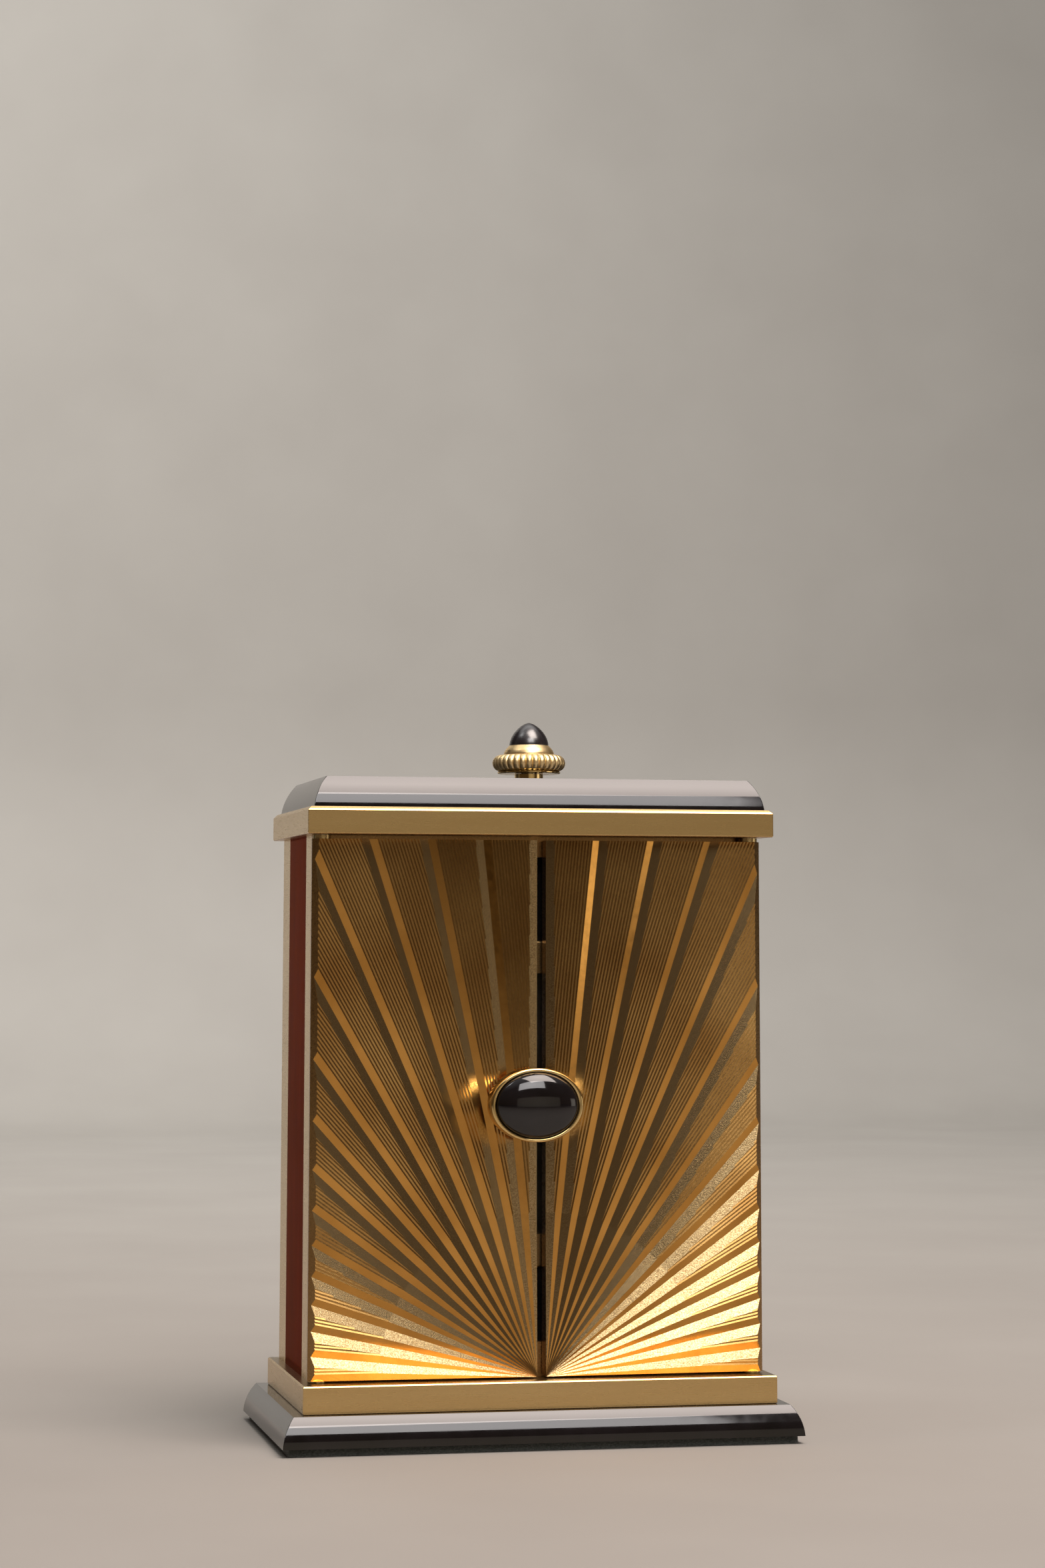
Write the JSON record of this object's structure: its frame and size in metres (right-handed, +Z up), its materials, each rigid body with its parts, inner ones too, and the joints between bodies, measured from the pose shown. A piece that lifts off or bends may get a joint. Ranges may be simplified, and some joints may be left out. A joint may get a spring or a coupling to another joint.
{
  "type": "shutter door table clock",
  "caption": "Small rectangular table clock: two sunray-engraved doors hinged between metal bands, opened by a top crown, on a black moulded plinth.",
  "frame": {"origin": "middle of the felt pad's underside, on the table", "axes": "+X to the right seen from the front, +Y to the back, +Z up"},
  "size_m": [0.0656, 0.0376, 0.0901],
  "materials": {
    "felt": "short dark green-black felt",
    "onyx": "polished black stone",
    "satin_gilt": "satin gilt brass",
    "polished_gilt": "polished gilt brass",
    "ray_gilt": "gilt brass engraved with rays",
    "lacquer": "deep red-brown gloss lacquer",
    "black_lacquer": "gloss black lacquer",
    "steel": "fine ground steel",
    "brass_works": "plain brass",
    "dial": "pale hatched dial",
    "hands": "dark hands and markers",
    "crystal": "flat clear crystal",
    "movement": "matt black movement case"
  },
  "bodies": {
    "case": {"felt_pad": "felt", "plinth": "onyx", "lower_band": "satin_gilt", "upper_band": "satin_gilt", "top_slab": "onyx", "left_side_wall": "satin_gilt", "right_side_wall": "satin_gilt", "left_lacquer_panel": "lacquer", "right_lacquer_panel": "lacquer", "front_frame": "polished_gilt", "dial_surround": "black_lacquer", "corner_posts": "brass_works", "base_screws": "steel", "top_screws": "steel", "back_cover": "satin_gilt", "back_cover_screws": "steel", "battery_hatch": "satin_gilt", "guide_pins": "steel", "crown_bush": "polished_gilt", "dial_bezel": "polished_gilt", "dial_crystal": "crystal", "dial_spacer": "brass_works", "dial_plate": "dial", "hour_markers": "hands", "movement_body": "movement", "battery_cell": "steel", "movement_bracket": "brass_works"},
    "crown": {"crown_spindle": "steel", "crown_lip": "polished_gilt", "crown_wheel": "polished_gilt", "crown_collar": "polished_gilt", "crown_stone": "onyx"},
    "yoke": {"door_yoke": "brass_works"},
    "left_door": {"left_door_panel": "ray_gilt", "left_upper_pivot": "steel", "left_lower_pivot": "steel", "left_hinge_washers": "brass_works", "left_hinge_pinion": "brass_works", "cabochon_bezel": "polished_gilt", "cabochon_stone": "onyx"},
    "right_door": {"right_door_panel": "ray_gilt", "right_upper_pivot": "steel", "right_lower_pivot": "steel", "right_hinge_washers": "brass_works", "right_hinge_pinion": "brass_works"},
    "minute_works": {"minute_hand": "hands", "minute_arbor": "steel", "setting_knob": "polished_gilt"},
    "hour_works": {"hour_hand": "hands"}
  },
  "joints": [
    {"name": "crown_turn", "type": "hinge", "parent": "case", "child": "crown", "pos_m": [0, -0.0067, 0.085], "axis": [0, 0, 1], "range_deg": [0, 83.83]},
    {"name": "yoke_slide", "type": "slide", "parent": "case", "child": "yoke", "axis": [0, -1, 0], "range_m": [0, 0.0022]},
    {"name": "left_door_hinge", "type": "hinge", "parent": "case", "child": "left_door", "pos_m": [-0.0277, -0.0121, 0.0415], "axis": [0, 0, -1], "range_deg": [0, 100]},
    {"name": "right_door_hinge", "type": "hinge", "parent": "case", "child": "right_door", "pos_m": [0.0277, -0.0121, 0.0415], "axis": [0, 0, 1], "range_deg": [0, 100.2]},
    {"name": "minute_turn", "type": "hinge", "parent": "case", "child": "minute_works", "pos_m": [0, 0, 0.0418], "axis": [0, 1, 0], "continuous": true},
    {"name": "hour_turn", "type": "hinge", "parent": "case", "child": "hour_works", "pos_m": [0, 0, 0.0418], "axis": [0, 1, 0], "continuous": true}
  ],
  "couplings": [
    {"joint": "right_door_hinge", "follows": "left_door_hinge", "ratio": 1},
    {"joint": "crown_turn", "follows": "left_door_hinge", "ratio": 0.83333},
    {"joint": "yoke_slide", "follows": "left_door_hinge", "m_per_rad": 0.00125},
    {"joint": "hour_turn", "follows": "minute_turn", "ratio": 0.083333}
  ]
}
